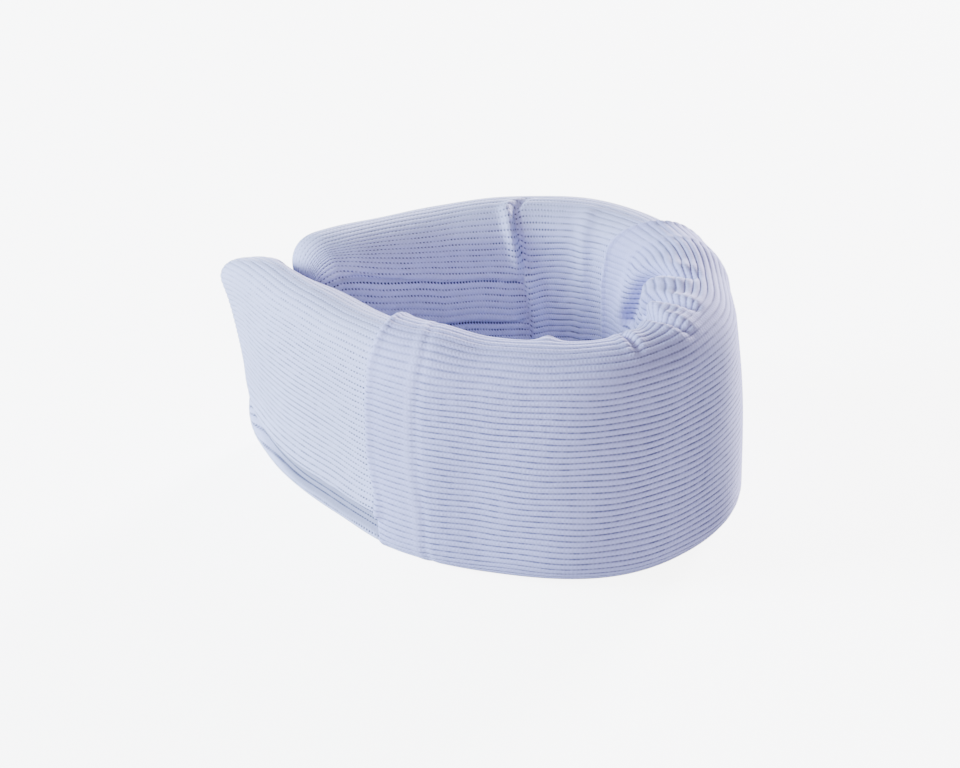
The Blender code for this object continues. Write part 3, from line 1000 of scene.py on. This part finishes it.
# Each bend: the two bodies that share a piece there, and where the share starts and ends.
FLAP = ("flap", "near_arm",
        centre_line(FLAP_HINGE - FLAP_REACH), centre_line(FLAP_HINGE + FLAP_REACH))
NEAR = ("near_arm", "front",
        centre_line(NEAR_HINGE - NEAR_REACH[0]), centre_line(NEAR_HINGE - NEAR_REACH[1]))
BEND = ("front", "back", BEND_START, BEND_END)
KINK = ("back", "tucked_end",
        centre_line(KINK_HINGE - KINK_REACH), centre_line(KINK_HINGE + KINK_REACH))


def place_piece(piece, body, slot, *nodes, fill=None):
    """Hang a piece on its body's empty, or bake it where it is when two bodies share it, and hide the
    CAD nodes it stands for.  The finish given as slot is not used.
    """
    if isinstance(body, str):
        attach(piece, body)
    else:
        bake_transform(piece)
    if nodes:
        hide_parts(*nodes)
    return piece


def build_collar():
    """Every visible piece of the collar."""
    cover_knit = knit_material("cover_knit", COVER_TONE, COVER_VALLEY_SHADE, COVER_HOLE_SHADE, 0.4, 0.95)
    sleeve_knit = knit_material("sleeve_knit", SLEEVE_TONE, SLEEVE_VALLEY_SHADE, SLEEVE_HOLE_SHADE, 0.95, 0.5)
    yarn = thread_material("sewing_thread", THREAD_TONE)
    hooks = tape_material("hook_tape", (0.62, 0.64, 0.72), 900.0, 0.6, 0.0)
    loops = tape_material("loop_tape", (0.66, 0.68, 0.76), 1400.0, 0.95, 0.5)
    foam = foam_material("white_foam")

    for name, start, end, body, node in (
        ("foam_core_flap", FLAP_END + FOAM_INSET, NEAR_JOIN, FLAP, "foam_flap"),
        ("foam_core_near_arm", NEAR_JOIN + FOAM_GAP, NEAR_HINGE, NEAR, "foam_near_arm"),
        ("foam_core_front", NEAR_HINGE + FOAM_GAP, BACK_JOIN, BEND, "foam_front"),
        ("foam_core_back", BACK_JOIN + FOAM_GAP, KINK_HINGE, KINK, "foam_back"),
        ("foam_core_tucked", KINK_HINGE + FOAM_GAP, TUCKED_END - FOAM_INSET, KINK, "foam_tucked_end"),
    ):
        place_piece(foam_core(name, start, end, foam), body, "foam", node, fill=FOAM_FILL)

    place_piece(knit_cover("knit_cover_flap", FLAP_END, NEAR_JOIN, cover_knit, flap_end=True),
                FLAP, "cover_knit", "cover_flap", fill=KNIT_FILL)
    place_piece(knit_cover("knit_cover_near", NEAR_JOIN, FRONT_JOIN, cover_knit),
                NEAR, "cover_knit", "cover_near_arm", fill=KNIT_FILL)
    place_piece(knit_cover("knit_cover_bend", FRONT_JOIN, BACK_JOIN, cover_knit),
                BEND, "cover_knit", "cover_front", "cover_back", fill=KNIT_FILL)
    place_piece(knit_cover("knit_cover_tucked", BACK_JOIN, TUCKED_END, cover_knit, tucked_end=True),
                KINK, "cover_knit", "cover_tucked_end", fill=KNIT_FILL)
    place_piece(knit_sleeve("knit_sleeve", sleeve_knit),
                BEND, "sleeve_knit", "sleeve_front", "sleeve_back", fill=KNIT_FILL)
    place_piece(hem_fold("hem_fold_near", NEAR_HINGE + 0.4, NEAR_HINGE + HEM_WIDTH, sleeve_knit),
                "front", "sleeve_knit", "hem_near")
    place_piece(hem_fold("hem_fold_far", SLEEVE_END - HEM_WIDTH, SLEEVE_END - 0.4, sleeve_knit),
                "back", "sleeve_knit", "hem_far")

    place_piece(thread("stitching_near", hem_stitches(NEAR_HINGE, 1, NEAR_EDGE), HEM_THREAD, yarn),
                "front", "thread", "hem_stitching_near")
    place_piece(thread("stitching_far", hem_stitches(SLEEVE_END, -1, FAR_EDGE), HEM_THREAD, yarn),
                "back", "thread", "hem_stitching_far")
    place_piece(tape("hook_tape_backing", HOOK_TAPE, INNER, hooks), "flap", "hook_tape", "hook_tape")
    place_piece(thread("hook_tape_hooks", hook_paths(HOOK_TAPE, INNER), HOOK_WIRE, hooks, 4),
                "flap", "hook_tape")
    place_piece(thread("hook_tape_seam", outline_stitches(HOOK_TAPE, INNER), TAPE_THREAD, yarn),
                "flap", "thread", "hook_tape_stitching")
    place_piece(tape("loop_tape_pile", LOOP_TAPE, OUTER, loops, 0.45),
                "tucked_end", "loop_tape", "loop_tape")
    place_piece(thread("loop_tape_seam", outline_stitches(LOOP_TAPE, OUTER), TAPE_THREAD, yarn),
                "tucked_end", "thread", "loop_tape_stitching")
    place_piece(thread("end_overlock_flap", end_stitches(FLAP_END, 1), END_THREAD, yarn),
                "flap", "thread", "end_seam_flap")
    place_piece(thread("end_overlock_tucked", end_stitches(TUCKED_END, -1), END_THREAD, yarn),
                "tucked_end", "thread", "end_seam_tucked")


# ---------------------------------------------------------------- floor, light and camera

FLOOR_GLOW = 6.5

VIEW_ELEVATION = radians(31.66)
VIEW_DISTANCE = 1.0
VIEW_TARGET = Vector((-0.0010, -0.0044, 0.0485))
LENS = 98.25
LENS_SHIFT = 0.0035


def add_floor():
    """A pale floor that looks brighter than the light it gives back, like a white studio sweep."""
    mesh = bpy.data.meshes.new("floor")
    reach = 6.0
    corners = ((-reach, -reach, 0.0), (reach, -reach, 0.0), (reach, reach, 0.0), (-reach, reach, 0.0))
    mesh.from_pydata(corners, [], [(0, 1, 2, 3)])
    nodes = Nodes("pale_floor")
    speckle = nodes.noise(60.0, 2.0)
    tone = nodes.mix(nodes.ramp(speckle, 0.3, 0.7), colour(0.80, 0.80, 0.79), colour(0.82, 0.82, 0.81))
    seen = nodes.add("LightPath").outputs["Is Camera Ray"]
    nodes.link(nodes.math("MULTIPLY", seen, FLOOR_GLOW), nodes.shader.inputs["Emission Strength"])
    mesh.materials.append(nodes.finish(tone, 0.9, Specular_IOR_Level=0.0,
                                       Emission_Color=colour(1.0, 1.0, 0.985)))
    floor = bpy.data.objects.new("floor", mesh)
    bpy.context.scene.collection.objects.link(floor)


def add_light(name, size, power, tone, place, aim=(0.0, 0.0, 0.05)):
    """A square soft box that points at the collar."""
    light = bpy.data.lights.new(name, "AREA")
    light.size = size
    light.energy = power
    light.color = tone
    lamp = bpy.data.objects.new(name, light)
    lamp.location = place
    lamp.rotation_euler = (Vector(aim) - Vector(place)).to_track_quat("-Z", "Y").to_euler()
    bpy.context.scene.collection.objects.link(lamp)


def add_lighting():
    """Soft studio light: a cool key from the left, a weak fill, a rim light behind and an even sky."""
    world = bpy.data.worlds.new("studio")
    bpy.context.scene.world = world
    world.use_nodes = True
    sky = world.node_tree.nodes["Background"]
    sky.inputs["Color"].default_value = colour(0.90, 0.84, 1.0)
    sky.inputs["Strength"].default_value = 0.28
    add_light("key", 0.7, 132.0, (0.68, 0.84, 1.0), (-1.95, -0.28, 0.74))
    add_light("front", 0.8, 13.0, (0.90, 0.84, 1.0), (-0.3, -1.5, 1.05))
    add_light("rim", 0.6, 220.0, (0.93, 0.89, 1.0), (1.2, 1.7, 0.4))


def add_camera():
    """The camera, a metre from the collar."""
    camera = bpy.data.objects.new("camera", bpy.data.cameras.new("camera"))
    camera.data.lens = LENS
    camera.data.shift_y = LENS_SHIFT
    reach = Vector((0.0, -cos(VIEW_ELEVATION), sin(VIEW_ELEVATION))) * VIEW_DISTANCE
    camera.location = VIEW_TARGET + reach
    camera.rotation_euler = (-reach).to_track_quat("-Z", "Y").to_euler()
    bpy.context.scene.collection.objects.link(camera)
    bpy.context.scene.camera = camera


build_collar()
add_floor()
add_lighting()
add_camera()
